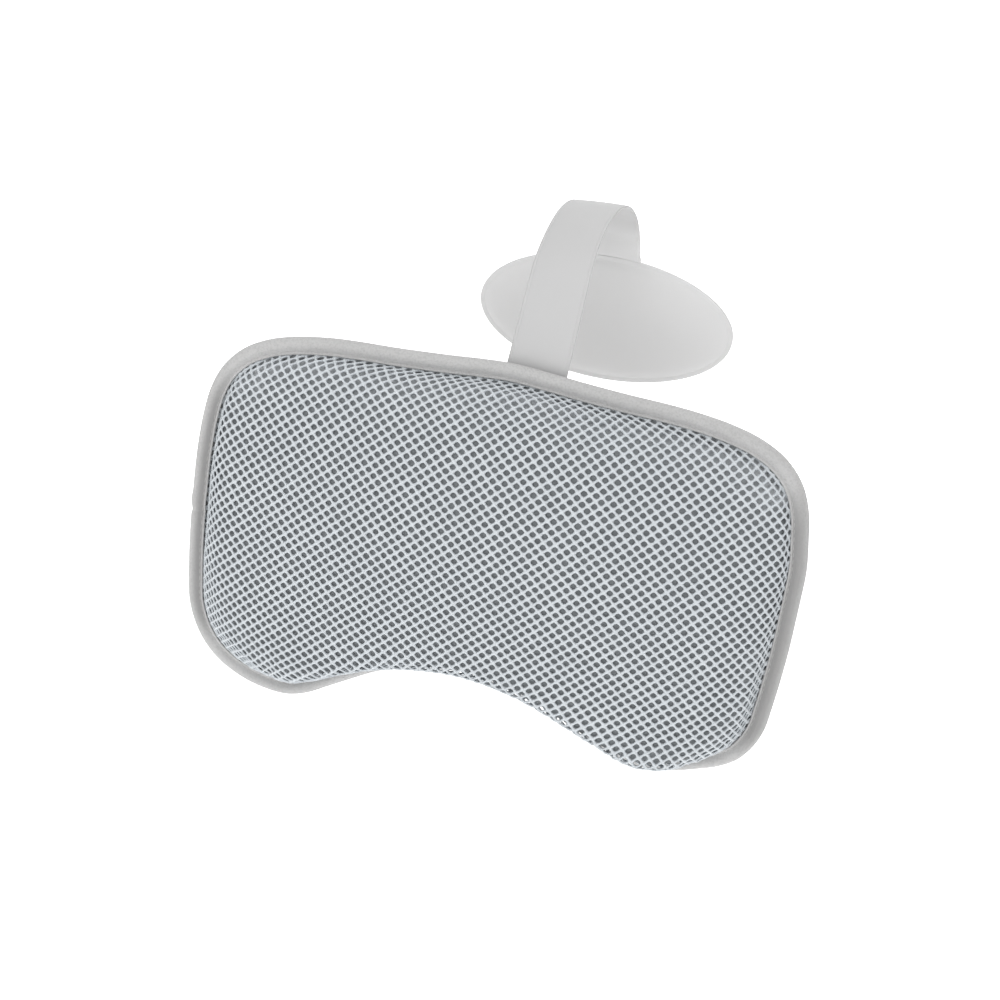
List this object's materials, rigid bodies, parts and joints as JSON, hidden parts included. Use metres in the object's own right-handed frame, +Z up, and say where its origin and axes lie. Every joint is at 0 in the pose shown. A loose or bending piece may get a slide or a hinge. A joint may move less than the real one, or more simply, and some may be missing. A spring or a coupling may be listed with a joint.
{
  "type": "bath pillow",
  "caption": "Domed bath pillow with an open mesh front, bound edge and neck recess, hung over a tub rim by a looped flat strap that ends in a weighted oval pad.",
  "frame": {"origin": "middle of the flat rear face of the back panel, level with the pillow's widest part", "axes": "+X across the pillow to the bather's right as seen from the front, +Y out of the back towards the tub wall, +Z up"},
  "size_m": [0.33, 0.161, 0.2889],
  "materials": {
    "mesh_knit": "pale blue-grey open-hole warp-knit spacer mesh",
    "liner_cloth": "mid grey plain cloth behind the mesh",
    "foam": "open-cell polyurethane foam",
    "panel_cloth": "smooth coated light grey cloth",
    "binding_cloth": "smooth light grey binding, matt",
    "strap_vinyl": "smooth matt vinyl sheet, light grey",
    "pad_vinyl": "smooth matt vinyl sheet, light grey, sealed edge",
    "steel": "plain steel plate, sealed inside the pad",
    "thread": "light grey polyester thread"
  },
  "bodies": {
    "pillow": {"front_mesh_cover": "mesh_knit", "front_liner": "liner_cloth", "foam_core": "foam", "back_panel": "panel_cloth", "edge_binding": "binding_cloth", "binding_stitch": "thread", "strap_anchor": "strap_vinyl", "anchor_stitch": "thread"},
    "strap_front": {"strap_front_run": "strap_vinyl"},
    "strap_crest": {"strap_crest": "strap_vinyl"},
    "strap_rear": {"strap_rear_run": "strap_vinyl"},
    "weight_pad": {"strap_pad_tab": "strap_vinyl", "pad_tab_stitch": "thread", "pad_rear_cover": "pad_vinyl", "pad_front_cover": "pad_vinyl", "weight_plate": "steel"}
  },
  "joints": [
    {"name": "strap_root_fold", "type": "hinge", "parent": "pillow", "child": "strap_front", "pos_m": [0.0106, 0.0011, 0.097], "axis": [-0.9993, 0.0098, 0.0368], "range_deg": [-15, 30], "stiffness_Nm_per_rad": 0.2, "springref_deg": -7.42},
    {"name": "loop_front_bend", "type": "hinge", "parent": "strap_front", "child": "strap_crest", "pos_m": [0.01566, 0.03534, 0.17518], "axis": [-0.9627, 0.2271, -0.1469], "range_deg": [-30, 17], "stiffness_Nm_per_rad": 0.068, "springref_deg": -14.52},
    {"name": "loop_rear_bend", "type": "hinge", "parent": "strap_crest", "child": "strap_rear", "pos_m": [0.02208, 0.07883, 0.17519], "axis": [-0.9917, 0.121, -0.044], "range_deg": [-30, 17], "stiffness_Nm_per_rad": 0.068, "springref_deg": -5.71},
    {"name": "weight_pad_swing", "type": "hinge", "parent": "strap_rear", "child": "weight_pad", "pos_m": [0.02511, 0.09937, 0.14842], "axis": [-0.9987, 0.0428, -0.0283], "range_deg": [-40, 30], "stiffness_Nm_per_rad": 0.068, "springref_deg": -1.54}
  ],
  "couplings": [
    {"joint": "loop_rear_bend", "follows": "loop_front_bend", "ratio": 1}
  ]
}
